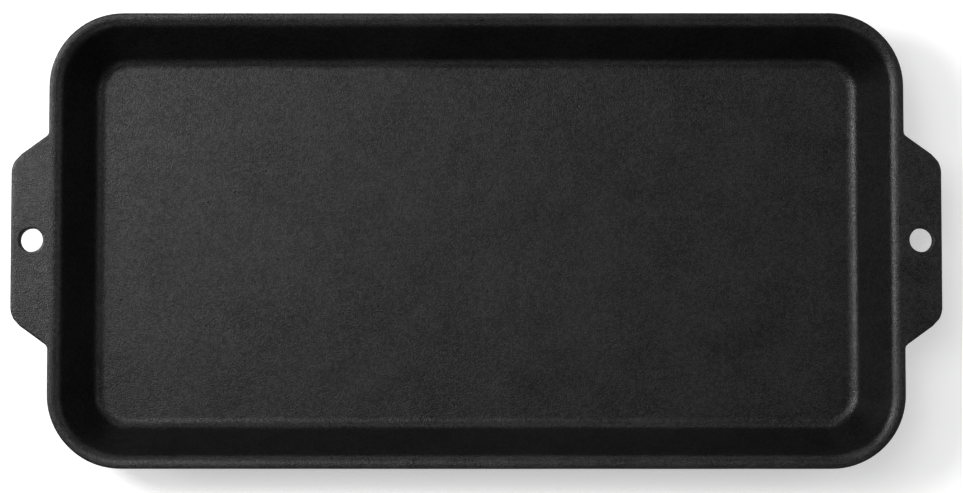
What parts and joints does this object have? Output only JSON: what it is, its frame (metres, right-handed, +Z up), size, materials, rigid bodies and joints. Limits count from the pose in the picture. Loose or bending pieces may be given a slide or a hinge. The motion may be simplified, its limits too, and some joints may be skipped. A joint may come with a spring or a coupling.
{
  "type": "rectangular griddle pan",
  "caption": "Shallow rectangular cast-iron griddle pan with rounded corners, sloping walls and a flat lug handle at each end, each with a round hanging hole.",
  "frame": {"origin": "centre of the flat base, on the surface the pan stands on", "axes": "+X along the length through both lugs, +Y across the width, +Z up out of the well"},
  "size_m": [0.432, 0.212, 0.03],
  "materials": {
    "cast_iron": "matte black, seasoned, fine sand-cast grain"
  },
  "bodies": {
    "root": {"pan": "cast_iron"}
  },
  "joints": []
}
